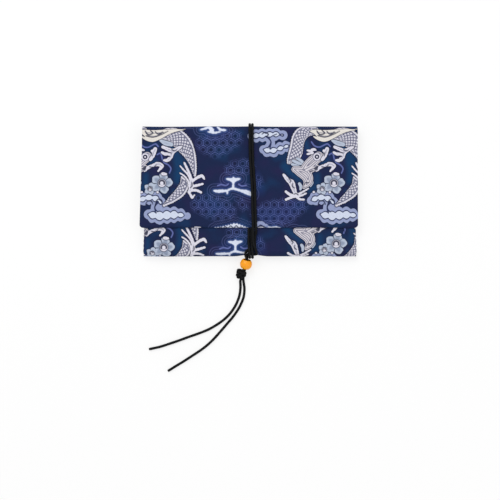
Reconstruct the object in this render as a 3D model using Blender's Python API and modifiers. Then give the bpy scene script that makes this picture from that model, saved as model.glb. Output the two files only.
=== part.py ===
# Flat fold-over pouch made from one strip of cloth, tied shut with a doubled cord that carries
# a round bead and a stop knot. The pouch lies flat on its back, flap up.
# Frame: +X along the flap's edge, +Y from the pocket's bottom fold to the top fold, +Z up.
# The origin is under the centre of the cloth's bounding box, on the surface it lies on.

import math

import bmesh
import bpy
from mathutils import Matrix, Vector

MM = 0.001

# The cloth strip: pocket front, bottom fold, back, top fold and flap, in one piece.
DEPTH = 90.2 * MM               # bottom fold to top fold, outside
WALL = 1.4 * MM                 # face cloth, interlining and lining together
POCKET_WIDTH = 146.0 * MM       # outside, at the waist of the side seams
CORNER_FLARE = 0.6 * MM         # how much further each bottom corner reaches out
FOLD_WIDTH = 148.8 * MM         # at the top fold
FLAP_EDGE_WIDTH = 150.4 * MM    # at the flap's free edge
FLAP_DRIFT = 0.8 * MM           # the flap's edge sits this much to the left of the body
FLAP_LENGTH = 70.6 * MM         # top fold to free edge
MOUTH_DEPTH = 17.0 * MM         # top fold to the pocket's mouth, under the flap
POCKET_GAP = 4.8 * MM           # room inside the pocket
FLAP_CLEARANCE = 0.4 * MM       # flap over pocket
SEAM_ROUND = 9.0 * MM           # width over which the pocket closes towards a side seam
SIDE_RELEASE = 6.0 * MM         # length over which the back flattens above a side seam
FLAP_DROOP = 1.2 * MM           # how far the flap's side edges hang
DROOP_WIDTH = 12.0 * MM
EDGE_ROUND = 2.0 * MM           # how far in the flap's free edge is rounded off
EDGE_THIN = 0.35                # share of the wall left at the very edge
CORNER_ROUND = 2.2 * MM         # radius of the flap's free corners

# The cord, folded double, and what is threaded and knotted on it.
CORD_DIAMETER = 1.8 * MM
CORD_GAP = 0.25 * MM            # between the two strands where they lie side by side
CORD_REST = 0.05 * MM           # the cord over the surface that the pouch lies on
SEAT_GAP = 0.3 * MM             # left between pieces that touch
CORD_PRESS = 0.7 * MM           # how deep the tie presses the pocket's front and the flap
FOLD_PRESS = 1.2 * MM           # how deep it presses the bottom fold
PRESS_WIDTH = 13.0 * MM         # half the width of those dips, and of the channel at the back
TIE_PLACE = 1.6 * MM            # where the tie crosses the cloth
BEAD_DIAMETER = 8.3 * MM
BEAD_LIFT = 0.15 * MM           # bead over the surface that the pouch lies on
BEAD_CENTRE_XY = (-1.9 * MM, -50.4 * MM)
BEAD_LEAN = math.radians(14.0)  # the bead's axis, from -Y towards -X
BEAD_DIP = math.radians(18.0)   # how far that axis points down, away from the pouch
BEAD_HOLE_CLEARANCE = 0.4 * MM
KNOT_LENGTH = 6.6 * MM
KNOT_WIDTH = 8.0 * MM
KNOT_HEIGHT = 6.2 * MM
KNOT_LEAN = math.radians(5.0)
KNOT_CENTRE_XY = (-5.2 * MM, -57.2 * MM)
KNOT_RIPPLE = 0.06              # how far the knot's turns stand proud, as a share of its size
KNOT_TURNS = 3                  # turns seen around the knot
KNOT_TWIST = 4.5                # how far those turns slant, in radians from its middle to an end

# How finely the forms are cut up.
RUN_STEPS = 8                   # along the pocket, and along the flap
FOLD_STEPS = 8                  # around each fold
EDGE_STEPS = 4                  # over the flap's rounded edge, and from the mouth to the top fold
CORD_BEVEL = 2
BEAD_ARC_STEPS = 12
BEAD_SPIN_STEPS = 32
KNOT_SEGMENTS = 24
KNOT_RINGS = 14

COLLECTION = "fold_over_pouch"


def clear_scene():
    for obj in list(bpy.data.objects):
        bpy.data.objects.remove(obj, do_unlink=True)


def make_material(name, colour, roughness):
    material = bpy.data.materials.new(name)
    material.use_nodes = True
    shader = material.node_tree.nodes["Principled BSDF"]
    shader.inputs["Base Color"].default_value = (*colour, 1.0)
    shader.inputs["Roughness"].default_value = roughness
    shader.inputs["Metallic"].default_value = 0.0
    return material


def add_object(name, data, material, collection):
    obj = bpy.data.objects.new(name, data)
    data.materials.append(material)
    collection.objects.link(obj)
    return obj


def ease(share):
    """0 to 1 with level ends, as share goes from 0 to 1."""
    share = min(max(share, 0.0), 1.0)
    return share * share * (3.0 - 2.0 * share)


def tie_bump(x):
    """1 under the tie, falling to 0 at PRESS_WIDTH on each side of it."""
    offset = min(abs(x - TIE_PLACE) / PRESS_WIDTH, 1.0)
    return 0.5 + 0.5 * math.cos(math.pi * offset)


# Heights of the strip's lining side.
BACK_Z = WALL
FRONT_Z = BACK_Z + POCKET_GAP
SEAM_Z = (BACK_Z + FRONT_Z) / 2
FLAP_Z = FRONT_Z + WALL + FLAP_CLEARANCE
CHANNEL_LIFT = CORD_REST + CORD_DIAMETER + SEAT_GAP     # the back arches over the cord

# Where the straight runs end and the folds begin.
BOTTOM_REACH = POCKET_GAP / 2
TOP_REACH = (FLAP_Z - BACK_Z) / 2
BOTTOM_Y = -DEPTH / 2 + WALL + BOTTOM_REACH
TOP_Y = DEPTH / 2 - WALL - TOP_REACH
MOUTH_Y = DEPTH / 2 - MOUTH_DEPTH
EDGE_Y = DEPTH / 2 - FLAP_LENGTH
SEAM_HALF = POCKET_WIDTH / 2 - WALL         # the lining meets here at each side seam


def column_shares():
    """Places across the strip as shares of its half width, closer at the seams and the tie."""
    seam = [SEAM_HALF - SEAM_ROUND * (1 - math.sin(a)) for a in steps(0, math.pi / 2, 4)]
    tie_middle = TIE_PLACE - FLAP_DRIFT
    tie = steps(tie_middle - PRESS_WIDTH, tie_middle + PRESS_WIDTH, 8)
    left = [-seam[0] + (tie[0] + seam[0]) * step / 3 for step in (1, 2)]
    right = [tie[-1] + (seam[0] - tie[-1]) * step / 3 for step in (1, 2)]
    places = [-place for place in reversed(seam)] + left + tie + right + seam
    return [place / SEAM_HALF for place in places]


def seam_closing(share):
    """Share of the pocket's height left where a column lies, 0 at the side seams."""
    into_round = (abs(share) * SEAM_HALF - (SEAM_HALF - SEAM_ROUND)) / SEAM_ROUND
    return math.sqrt(max(1 - max(into_round, 0.0) ** 2, 0.0))


def row(shares, y, half, centre, height):
    """One row of points across the strip; height and y may depend on x and the column's share."""
    points = []
    for share in shares:
        x = centre + share * half
        points.append(Vector((x, y(x, share), height(x, share))))
    return points


def back_height(x, share, released):
    closed = 1 - seam_closing(share)
    return BACK_Z + (SEAM_Z - BACK_Z) * closed * (1 - released) + CHANNEL_LIFT * tie_bump(x)


def front_height(x, share):
    return SEAM_Z + (FRONT_Z - SEAM_Z) * seam_closing(share) - CORD_PRESS * tie_bump(x)


def flap_height(x, half, centre, settled):
    """settled goes from 0 at the top fold to 1 where the flap lies on the pocket."""
    droop = FLAP_DROOP * ease((abs(x - centre) - half + DROOP_WIDTH) / DROOP_WIDTH)
    return FLAP_Z - (droop + CORD_PRESS * tie_bump(x)) * settled


def steps(start, end, count):
    return [start + (end - start) * step / count for step in range(count + 1)]


def half_width(y):
    """Half the width of the back and the pocket's front at y, to the seam or the free edge."""
    waist_y = (BOTTOM_Y + MOUTH_Y) / 2
    if y <= MOUTH_Y:
        low = max((waist_y - y) / (waist_y - BOTTOM_Y), 0.0)
        return SEAM_HALF + CORNER_FLARE * low ** 2
    return SEAM_HALF + (FOLD_WIDTH / 2 - SEAM_HALF) * ease((y - MOUTH_Y) / (TOP_Y - MOUTH_Y))


def strip_rows(shares):
    """The strip's lining side, from the pocket's mouth round both folds to the flap's edge.

    Each row comes with the share of the wall that the cloth has there.
    """
    centre = FLAP_DRIFT
    pocket_ys = steps(MOUTH_Y, BOTTOM_Y, RUN_STEPS)
    rows = []
    for y in pocket_ys:
        rows.append((row(shares, lambda x, s: y, half_width(y), centre, front_height), 1.0))

    bottom_half = half_width(BOTTOM_Y)
    for angle in steps(0, math.pi, FOLD_STEPS)[1:-1]:
        def fold_y(x, share):
            reach = BOTTOM_REACH - FOLD_PRESS * tie_bump(x)
            return BOTTOM_Y - reach * math.sin(angle)

        def fold_z(x, share):
            low = back_height(x, share, 0.0)
            high = front_height(x, share)
            return (low + high) / 2 + (high - low) / 2 * math.cos(angle)

        rows.append((row(shares, fold_y, bottom_half, centre, fold_z), 1.0))

    back_ys = list(reversed(pocket_ys)) + steps(MOUTH_Y, TOP_Y, EDGE_STEPS)[1:]
    for y in back_ys:
        released = ease((y - MOUTH_Y) / SIDE_RELEASE)
        height = lambda x, s: back_height(x, s, released)
        rows.append((row(shares, lambda x, s: y, half_width(y), centre, height), 1.0))

    top_half = half_width(TOP_Y)
    for angle in steps(0, math.pi, FOLD_STEPS)[1:-1]:
        def turn_z(x, share):
            low = back_height(x, share, 1.0)
            high = flap_height(x, top_half, centre, 0.0)
            return (low + high) / 2 - (high - low) / 2 * math.cos(angle)

        turn_y = TOP_Y + TOP_REACH * math.sin(angle)
        rows.append((row(shares, lambda x, s: turn_y, top_half, centre, turn_z), 1.0))

    flap_ys = steps(TOP_Y, EDGE_Y + EDGE_ROUND, RUN_STEPS)
    flap_ys += steps(EDGE_Y + EDGE_ROUND, EDGE_Y, EDGE_STEPS)[1:]
    for y in flap_ys:
        along = (TOP_Y - y) / (TOP_Y - EDGE_Y)
        drift = FLAP_DRIFT * (1 - along)
        half = (FOLD_WIDTH + (FLAP_EDGE_WIDTH - FOLD_WIDTH) * along) / 2
        into_corner = min(max(CORNER_ROUND - (y - EDGE_Y), 0.0), CORNER_ROUND)
        half -= CORNER_ROUND - math.sqrt(CORNER_ROUND ** 2 - into_corner ** 2)
        settled = ease((TOP_Y - y) / (TOP_Y - MOUTH_Y))
        height = lambda x, s: flap_height(x, half, drift, settled)
        into_edge = max(1 - (y - EDGE_Y) / EDGE_ROUND, 0.0)
        wall_share = math.sqrt(1 - (1 - EDGE_THIN ** 2) * into_edge ** 2)
        rows.append((row(shares, lambda x, s: y, half, drift, height), wall_share))
    return rows


def make_cloth(material, collection):
    """The strip as one open sheet, its pocket sides sewn together, then given its wall."""
    mesh = bpy.data.meshes.new("pouch_cloth")
    sheet = bmesh.new()
    weights = sheet.verts.layers.deform.verify()
    grid = []
    for points, wall_share in strip_rows(column_shares()):
        line = [sheet.verts.new(point) for point in points]
        for vert in line:
            vert[weights][0] = wall_share
        grid.append(line)
    for upper, lower in zip(grid, grid[1:]):
        for i in range(len(upper) - 1):
            sheet.faces.new((upper[i], lower[i], lower[i + 1], upper[i + 1]))
    bmesh.ops.remove_doubles(sheet, verts=sheet.verts, dist=0.01 * MM)
    for face in sheet.faces:
        face.smooth = True
    sheet.to_mesh(mesh)
    sheet.free()
    cloth = add_object("pouch_cloth", mesh, material, collection)
    cloth.vertex_groups.new(name="wall_share")
    wall = cloth.modifiers.new("wall", "SOLIDIFY")
    wall.thickness = WALL
    wall.offset = 1.0
    wall.vertex_group = "wall_share"
    wall.thickness_vertex_group = 0.0
    return cloth


# Routes of the cord's centrelines, in millimetres, chosen along the real tie.
# Each strand leaves the flap's edge, goes down the pocket, under the pouch and over the top
# fold, comes down the flap, and is tucked under its own start before it enters the bead.
BACK_RUN_Z = (CORD_DIAMETER / 2 + CORD_REST) / MM
LEFT_STRAND = [
    (-0.1, -25.8, 8.1), (-0.1, -31.0, 8.1), (-0.1, -36.0, 8.15), (0.1, -38.2, 9.2),
    (0.3, -40.0, 10.3), (0.5, -41.7, 10.3), (0.7, -43.3, 10.0), (0.85, -44.8, 9.25),
    (0.95, -45.7, 8.0), (1.0, -46.0, 6.4), (1.0, -45.8, 4.7), (1.0, -45.0, 3.0),
    (1.0, -43.6, 1.6), (0.9, -41.8, BACK_RUN_Z), (0.8, -38.0, BACK_RUN_Z),
    (0.5, -15.0, BACK_RUN_Z), (0.4, 15.0, BACK_RUN_Z), (0.5, 37.0, BACK_RUN_Z),
    (0.5, 41.2, BACK_RUN_Z), (0.5, 43.6, 1.6), (0.5, 45.6, 3.3), (0.5, 46.4, 5.75),
    (0.5, 45.6, 8.2), (0.5, 43.4, 10.0), (0.5, 40.4, 10.65), (0.5, 36.0, 10.5), (0.6, 28.0, 10.0),
    (1.1, 18.0, 9.9), (2.1, 4.0, 9.9), (2.4, -8.0, 9.9), (2.7, -20.0, 9.9), (2.9, -26.0, 9.9),
    (3.0, -31.0, 9.9), (3.2, -36.0, 10.0), (3.9, -38.6, 10.6), (4.6, -40.8, 10.3),
    (5.2, -42.5, 9.3), (5.3, -43.6, 8.2), (4.3, -43.9, 7.5), (2.8, -43.6, 7.35), (0.8, -43.5, 7.35),
    (-0.4, -43.9, 7.1), (-1.0, -44.9, 6.3), (-1.15, -45.7, 5.2), (-1.1, -46.9, 4.4),
    (-1.82, -50.1, 3.32), (-2.65, -53.4, 2.22),
]
RIGHT_STRAND = [
    (1.95, -25.8, 8.1), (1.95, -31.0, 8.1), (2.0, -36.0, 8.15), (2.15, -38.2, 9.2),
    (2.35, -40.0, 10.3), (2.55, -41.7, 10.3), (2.75, -43.3, 10.0), (2.9, -44.8, 9.25),
    (3.0, -45.7, 8.0), (3.05, -46.0, 6.4), (3.05, -45.8, 4.7), (3.05, -45.0, 3.0),
    (3.05, -43.6, 1.6), (2.95, -41.8, BACK_RUN_Z), (2.85, -38.0, BACK_RUN_Z),
    (2.6, -15.0, BACK_RUN_Z), (2.5, 15.0, BACK_RUN_Z), (2.6, 37.0, BACK_RUN_Z),
    (2.6, 41.2, BACK_RUN_Z), (2.6, 43.6, 1.6), (2.6, 45.6, 3.3), (2.6, 46.4, 5.75),
    (2.6, 45.6, 8.2), (2.6, 43.4, 10.0), (2.6, 40.4, 10.65), (2.6, 36.0, 10.5), (2.7, 28.0, 10.0),
    (3.2, 18.0, 9.9), (4.2, 4.0, 9.9), (4.5, -8.0, 9.9), (4.8, -20.0, 9.9), (4.9, -26.0, 9.9),
    (4.95, -28.6, 9.0), (4.3, -31.5, 8.15), (4.15, -36.0, 8.1), (4.4, -38.6, 8.05),
    (3.9, -40.0, 8.0), (2.4, -40.5, 8.0), (0.5, -40.6, 8.0), (-0.9, -41.0, 8.0),
    (-1.85, -42.1, 8.2), (-2.15, -43.5, 8.6), (-2.1, -45.1, 8.3), (-1.55, -46.4, 7.2),
    (-1.2, -47.5, 6.38), (-1.98, -50.7, 5.28), (-2.8, -54.0, 4.2),
]
# The free tails, from the knot to their bare ends on the surface.
TAIL_Z = BACK_RUN_Z
LEFT_TAIL = [
    (-5.9, -61.0, 2.6), (-5.75, -63.8, 1.6), (-5.8, -67.5, TAIL_Z), (-6.6, -72.6, TAIL_Z),
    (-9.3, -79.2, TAIL_Z), (-13.6, -85.3, TAIL_Z), (-17.9, -89.3, TAIL_Z), (-22.8, -92.7, TAIL_Z),
    (-27.8, -95.5, TAIL_Z), (-33.9, -98.0, TAIL_Z), (-41.3, -100.6, TAIL_Z),
    (-48.1, -103.1, TAIL_Z), (-54.3, -105.2, TAIL_Z), (-61.1, -107.4, TAIL_Z), (-68.8, -109.1, TAIL_Z),
]
RIGHT_TAIL = [
    (-3.85, -60.9, 2.6), (-3.4, -63.9, 1.6), (-3.0, -67.5, TAIL_Z), (-3.6, -73.2, TAIL_Z),
    (-6.4, -80.0, TAIL_Z), (-10.6, -86.4, TAIL_Z), (-15.0, -91.6, TAIL_Z), (-19.8, -97.2, TAIL_Z),
    (-24.7, -102.6, TAIL_Z), (-29.0, -106.6, TAIL_Z), (-33.9, -110.3, TAIL_Z),
    (-38.8, -113.5, TAIL_Z), (-45.0, -117.5, TAIL_Z), (-51.1, -121.2, TAIL_Z), (-55.7, -124.1, TAIL_Z),
]
LONGEST_STEP = 3.0 * CORD_DIAMETER
SHARPEST_TURN = math.radians(17)


def smooth_route(points):
    """Points along a smooth curve through the route, close where it bends and far where it runs."""
    knots = [Vector(point) * MM for point in points]
    ends = [knots[0] * 2 - knots[1], *knots, knots[-1] * 2 - knots[-2]]
    fine = []
    for before, start, end, after in zip(ends, ends[1:], ends[2:], ends[3:]):
        for step in range(8):
            fine.append(spline_point(before, start, end, after, step / 8))
    fine.append(knots[-1])
    route = [fine[0]]
    heading = fine[1] - fine[0]
    for here, ahead in zip(fine[1:-1], fine[2:]):
        if (here - route[-1]).length > LONGEST_STEP or heading.angle(ahead - here) > SHARPEST_TURN:
            route.append(here)
            heading = ahead - here
    route.append(fine[-1])
    return route


def spline_point(before, start, end, after, share):
    """A point of the centripetal Catmull-Rom curve between start and end."""
    t0 = 0.0
    t1 = t0 + math.sqrt((start - before).length)
    t2 = t1 + math.sqrt((end - start).length)
    t3 = t2 + math.sqrt((after - end).length)
    t = t1 + (t2 - t1) * share
    a1 = before.lerp(start, (t - t0) / (t1 - t0))
    a2 = start.lerp(end, (t - t1) / (t2 - t1))
    a3 = end.lerp(after, (t - t2) / (t3 - t2))
    b1 = a1.lerp(a2, (t - t0) / (t2 - t0))
    b2 = a2.lerp(a3, (t - t1) / (t3 - t1))
    return b1.lerp(b2, (t - t1) / (t2 - t1))


def make_cord(name, points, material, collection):
    curve = bpy.data.curves.new(name, "CURVE")
    curve.dimensions = "3D"
    curve.bevel_depth = CORD_DIAMETER / 2
    curve.bevel_resolution = CORD_BEVEL
    curve.use_fill_caps = True
    route = smooth_route(points)
    spline = curve.splines.new("POLY")
    spline.points.add(len(route) - 1)
    for slot, point in zip(spline.points, route):
        slot.co = (*point, 1.0)
    return add_object(name, curve, material, collection)


def leaning_axis(lean, dip):
    """A direction away from the pouch, turned by lean from -Y towards -X, and down by dip."""
    level = math.cos(dip)
    return Vector((-math.sin(lean) * level, -math.cos(lean) * level, -math.sin(dip)))


def bead_centre():
    return Vector((*BEAD_CENTRE_XY, BEAD_DIAMETER / 2 + BEAD_LIFT))


def make_bead(material, collection):
    """A turned bead: the half section of a ball with a hole, spun about the hole."""
    radius = BEAD_DIAMETER / 2
    hole = CORD_DIAMETER + CORD_GAP / 2 + BEAD_HOLE_CLEARANCE
    top = math.acos(hole / radius)
    arc = steps(top, -top, BEAD_ARC_STEPS)
    profile = [Vector((radius * math.cos(a), 0, radius * math.sin(a))) for a in arc]
    mesh = bpy.data.meshes.new("bead")
    half = bmesh.new()
    ring = [half.verts.new(point) for point in profile]
    for i in range(len(ring)):
        half.edges.new((ring[i], ring[(i + 1) % len(ring)]))
    half.to_mesh(mesh)
    half.free()
    bead = add_object("bead", mesh, material, collection)
    spin = bead.modifiers.new("spin", "SCREW")
    spin.steps = spin.render_steps = BEAD_SPIN_STEPS
    spin.use_merge_vertices = True
    spin.merge_threshold = 0.01 * MM
    bead.rotation_mode = "QUATERNION"
    bead.rotation_quaternion = Vector((0, 0, 1)).rotation_difference(leaning_axis(BEAD_LEAN, BEAD_DIP))
    bead.location = bead_centre()
    return bead


def make_knot(material, collection):
    """The doubled overhand knot's outer form: a rounded lump with the cord's turns around it."""
    mesh = bpy.data.meshes.new("stop_knot")
    lump = bmesh.new()
    bmesh.ops.create_uvsphere(lump, u_segments=KNOT_SEGMENTS, v_segments=KNOT_RINGS, radius=1.0)
    for vert in lump.verts:
        around = math.atan2(vert.co.y, vert.co.x)
        turn = math.cos(KNOT_TURNS * around + KNOT_TWIST * vert.co.z)
        turn *= KNOT_RIPPLE * (1 - vert.co.z ** 2)
        vert.co = Vector((vert.co.x * KNOT_WIDTH / 2, vert.co.y * KNOT_HEIGHT / 2,
                          vert.co.z * KNOT_LENGTH / 2)) * (1 + turn)
    for face in lump.faces:
        face.smooth = True
    lump.to_mesh(mesh)
    lump.free()
    knot = add_object("stop_knot", mesh, material, collection)
    axis = leaning_axis(KNOT_LEAN, 0.0)
    up = Vector((0, 0, 1))
    knot.matrix_world = Matrix((up.cross(axis), up, axis)).transposed().to_4x4()
    knot.location = (*KNOT_CENTRE_XY, KNOT_HEIGHT / 2 * (1 + KNOT_RIPPLE))
    return knot


def main():
    clear_scene()
    collection = bpy.data.collections.new(COLLECTION)
    bpy.context.scene.collection.children.link(collection)
    cloth_finish = make_material("printed_cloth", (0.035, 0.045, 0.16), 0.85)
    cord_finish = make_material("braided_cord", (0.008, 0.008, 0.01), 0.7)
    bead_finish = make_material("orange_wood", (0.85, 0.28, 0.015), 0.35)
    make_cloth(cloth_finish, collection)
    make_cord("cord_left_strand", LEFT_STRAND, cord_finish, collection)
    make_cord("cord_right_strand", RIGHT_STRAND, cord_finish, collection)
    make_bead(bead_finish, collection)
    make_knot(cord_finish, collection)
    make_cord("cord_left_tail", LEFT_TAIL, cord_finish, collection)
    make_cord("cord_right_tail", RIGHT_TAIL, cord_finish, collection)


main()
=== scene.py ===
import math

import bmesh
import bpy
import numpy as np
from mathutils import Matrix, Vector


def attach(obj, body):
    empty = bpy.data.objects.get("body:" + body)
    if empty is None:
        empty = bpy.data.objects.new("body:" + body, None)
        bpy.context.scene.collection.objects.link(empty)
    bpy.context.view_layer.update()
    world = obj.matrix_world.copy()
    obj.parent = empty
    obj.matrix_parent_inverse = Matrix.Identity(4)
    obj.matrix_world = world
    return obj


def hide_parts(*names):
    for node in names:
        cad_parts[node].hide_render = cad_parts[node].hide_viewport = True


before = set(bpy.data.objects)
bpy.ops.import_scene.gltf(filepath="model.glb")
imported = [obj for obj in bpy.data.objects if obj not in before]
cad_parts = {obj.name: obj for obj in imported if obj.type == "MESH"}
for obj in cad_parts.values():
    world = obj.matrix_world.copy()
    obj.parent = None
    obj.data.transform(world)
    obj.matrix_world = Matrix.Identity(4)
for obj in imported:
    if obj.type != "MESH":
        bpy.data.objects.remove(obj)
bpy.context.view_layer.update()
mm = 0.001


# Small helpers

def fill(tree, node, inputs):
    # a socket takes a link, from a node's first output or a given one, or holds its constant itself
    for slot, value in inputs.items():
        if isinstance(value, bpy.types.Node):
            value = value.outputs[0]
        if isinstance(value, bpy.types.NodeSocket):
            tree.links.new(value, node.inputs[slot])
        else:
            node.inputs[slot].default_value = value


def addNode(tree, kind, inputs=None, **settings):
    node = tree.nodes.new(kind)
    for name, value in settings.items():
        setattr(node, name, value)
    fill(tree, node, inputs or {})
    return node


def colour(hexValue):
    # sRGB hex to the linear values that sockets hold
    parts = [int(hexValue[i:i + 2], 16) / 255 for i in (1, 3, 5)]
    linear = [p / 12.92 if p <= 0.04045 else ((p + 0.055) / 1.055) ** 2.4 for p in parts]
    return (*linear, 1.0)


def newMaterial(name):
    material = bpy.data.materials.new(name)
    material.use_nodes = True
    return material, material.node_tree, material.node_tree.nodes["Principled BSDF"]


def meshObject(name, mesh):
    obj = bpy.data.objects.new(name, mesh)
    bpy.context.scene.collection.objects.link(obj)
    return obj


def ease(share):
    share = np.clip(share, 0.0, 1.0)
    return share * share * (3.0 - 2.0 * share)


def steps(start, end, count):
    return list(np.linspace(start, end, count + 1))


# The camera is fitted to the photograph's view: nearly straight down, tilted 3 degrees

view = {
    "place": (0.860, -77.576, 708.041),     # mm
    "aim": (0.860, -40.941, 9.0),
    "lens": 73.45,                          # on a 36 mm sensor
}


def makeCamera():
    data = bpy.data.cameras.new("pouchView")
    data.lens = view["lens"]
    data.sensor_width = 36.0
    data.clip_start = 0.01
    camera = bpy.data.objects.new("pouchView", data)
    place, aim = Vector(view["place"]) * mm, Vector(view["aim"]) * mm
    camera.location = place
    camera.rotation_euler = (aim - place).to_track_quat("-Z", "Y").to_euler()
    bpy.context.scene.collection.objects.link(camera)
    bpy.context.scene.camera = camera


makeCamera()
print("camera set")


# Cords: each strand is one braided cord, from the flap's edge to its cut end

tie = {
    "diameter": 1.8,            # mm
    "backRun": 0.95,            # height of the centreline where the cord lies on the table
    "ringStep": 0.42,           # between rings of the tube
    "sides": 20,
    "carriers": 8,              # yarns that run each way round the braid
    "pitch": 6.4,               # length in which a yarn goes once round
    "relief": 0.055,            # how far the yarns stand proud
    "wornLength": 1.2,          # a cut end is drawn in over this length
    "wornShare": 0.1,
    "endDome": 0.25,            # how far the middle of a cut end stands out
    "knotCentre": (-5.2, -57.2, 3.29),
    "knotLean": 5.0,            # degrees, from -Y towards -X
    "knotSpan": (0.23, 1.6, 0.88),      # along, across and up, per unit of the knot curve
    "knotEnds": 1.93,           # where the curve starts and stops, either side of its middle
    "knotPoints": 34,
    "knotApart": 0.92,          # each strand from the middle of the pair
    "knotReach": 8.0,           # turns this near the knot's centre are rounded off
    "reachFade": 2.0,
    "knotEasing": 18,           # rounds of it
}
onFloor = tie["backRun"]

# The strands lie side by side down the pocket, under the pouch, over the top fold and down the flap.
# Each row holds the left strand's x, the right strand's x, and the y and z that they share.
roundPouch = [
    (-0.03, 1.88, -25.8, 8.1), (-0.03, 1.88, -31.0, 8.1), (-0.03, 1.93, -36.0, 8.15),
    (0.13, 2.1, -38.2, 9.2), (0.3, 2.3, -40.0, 10.3), (0.48, 2.45, -41.7, 10.3),
    (0.6, 2.55, -43.3, 10.0), (0.68, 2.6, -44.8, 9.25), (0.72, 2.62, -45.7, 8.0),
    (0.75, 2.63, -46.0, 6.4), (0.75, 2.63, -45.8, 4.7), (0.75, 2.63, -45.0, 3.0),
    (0.75, 2.63, -43.6, 1.6), (0.72, 2.62, -41.8, onFloor), (0.7, 2.62, -38.0, onFloor),
    (0.5, 2.6, -15.0, onFloor), (0.4, 2.5, 15.0, onFloor), (0.5, 2.6, 37.0, onFloor),
    (0.55, 2.57, 41.2, onFloor), (0.58, 2.54, 43.6, 1.6), (0.66, 2.54, 45.6, 3.3),
    (0.66, 2.54, 46.4, 5.75), (0.66, 2.54, 45.6, 8.2), (0.66, 2.54, 43.4, 10.0),
    (0.66, 2.54, 40.4, 10.65), (0.66, 2.54, 36.0, 10.5), (0.75, 2.63, 28.0, 10.0),
    (1.2, 3.1, 18.0, 9.9), (2.2, 4.1, 4.0, 9.9), (2.5, 4.4, -8.0, 9.9), (2.8, 4.7, -20.0, 9.9),
    (2.97, 4.86, -26.0, 9.9),
]
# Then each takes its own way under the starts and through the bead.
leftTuck = [
    (3.0, -31.0, 9.9), (3.2, -36.0, 10.0), (3.9, -38.6, 10.6), (4.6, -40.8, 10.3),
    (5.2, -42.5, 9.3), (5.3, -43.6, 8.2), (4.3, -43.9, 7.5), (2.8, -43.6, 7.35), (0.8, -43.5, 7.35),
    (-0.4, -43.9, 7.1), (-1.0, -44.9, 6.3), (-1.15, -45.7, 5.2), (-1.1, -46.9, 4.4),
    (-1.82, -50.1, 3.32), (-2.65, -53.4, 2.22),
]
rightTuck = [
    (4.95, -28.6, 9.0), (4.3, -31.5, 8.15), (4.15, -36.0, 8.1), (4.4, -38.6, 8.05),
    (3.9, -40.0, 8.0), (2.4, -40.5, 8.0), (0.5, -40.6, 8.0), (-0.9, -41.0, 8.0),
    (-1.85, -42.1, 8.2), (-2.15, -43.5, 8.6), (-2.1, -45.1, 8.3), (-1.55, -46.4, 7.2),
    (-1.2, -47.5, 6.38), (-1.98, -50.7, 5.28), (-2.8, -54.0, 4.2),
]
leftTail = [
    (-5.9, -61.0, 2.6), (-5.75, -63.8, 1.6), (-5.8, -67.5, onFloor), (-6.6, -72.6, onFloor),
    (-9.3, -79.2, onFloor), (-13.6, -85.3, onFloor), (-17.9, -89.3, onFloor), (-22.8, -92.7, onFloor),
    (-27.8, -95.5, onFloor), (-33.9, -98.0, onFloor), (-41.3, -100.6, onFloor),
    (-48.1, -103.1, onFloor), (-54.3, -105.2, onFloor), (-61.1, -107.4, onFloor), (-68.8, -109.1, onFloor),
]
rightTail = [
    (-3.85, -60.9, 2.6), (-3.4, -63.9, 1.6), (-3.0, -67.5, onFloor), (-3.6, -73.2, onFloor),
    (-6.4, -80.0, onFloor), (-10.6, -86.4, onFloor), (-15.0, -91.6, onFloor), (-19.8, -97.2, onFloor),
    (-24.7, -102.6, onFloor), (-29.0, -106.6, onFloor), (-33.9, -110.3, onFloor),
    (-38.8, -113.5, onFloor), (-45.0, -117.5, onFloor), (-51.1, -121.2, onFloor), (-55.7, -124.1, onFloor),
]


def splinePoints(points, perSpan=10):
    # centripetal Catmull-Rom through the route, so that no span loops
    knots = [np.array(p, float) for p in points]
    ends = [knots[0] * 2 - knots[1], *knots, knots[-1] * 2 - knots[-2]]
    fine = []
    for before, start, end, after in zip(ends, ends[1:], ends[2:], ends[3:]):
        t1 = math.sqrt(np.linalg.norm(start - before))
        t2 = t1 + math.sqrt(np.linalg.norm(end - start))
        t3 = t2 + math.sqrt(np.linalg.norm(after - end))
        for t in np.linspace(t1, t2, perSpan, endpoint=False):
            a1 = before + (start - before) * t / t1
            a2 = start + (end - start) * (t - t1) / (t2 - t1)
            a3 = end + (after - end) * (t - t2) / (t3 - t2)
            b1 = a1 + (a2 - a1) * t / t2
            b2 = a2 + (a3 - a2) * (t - t1) / (t3 - t1)
            fine.append(b1 + (b2 - b1) * (t - t1) / (t2 - t1))
    fine.append(knots[-1])
    return np.array(fine)


def evenPoints(line, step):
    along = np.concatenate([[0], np.cumsum(np.linalg.norm(np.diff(line, axis=0), axis=1))])
    at = np.linspace(0, along[-1], int(along[-1] / step) + 1)
    return np.stack([np.interp(at, along, line[:, k]) for k in range(3)], axis=1)


def knotTurns(side):
    # an overhand knot as an open curve: t^5-10t along, t^4-4t^2 across, 3t-t^3 up
    along, across, up = tie["knotSpan"]
    lean = math.radians(tie["knotLean"])
    axis = np.array((-math.sin(lean), -math.cos(lean), 0.0))
    right = np.array((math.cos(lean), -math.sin(lean), 0.0))
    t = np.linspace(-tie["knotEnds"], tie["knotEnds"], tie["knotPoints"])
    middle = (np.outer(along * (t ** 5 - 10 * t), axis) + np.outer(across * (t ** 4 - 4 * t ** 2 + 2), right)
              + np.outer(up * (3 * t - t ** 3), (0, 0, 1)))
    heading = np.gradient(middle, axis=0)
    beside = np.cross(heading, middle + 0.3 * axis)
    beside /= np.linalg.norm(beside, axis=1)[:, None]
    for i in range(1, len(beside)):     # the pair lies side by side and never swaps over
        if beside[i] @ beside[i - 1] < 0:
            beside[i] *= -1
    return list(middle + side * tie["knotApart"] * beside + np.array(tie["knotCentre"]))


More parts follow.
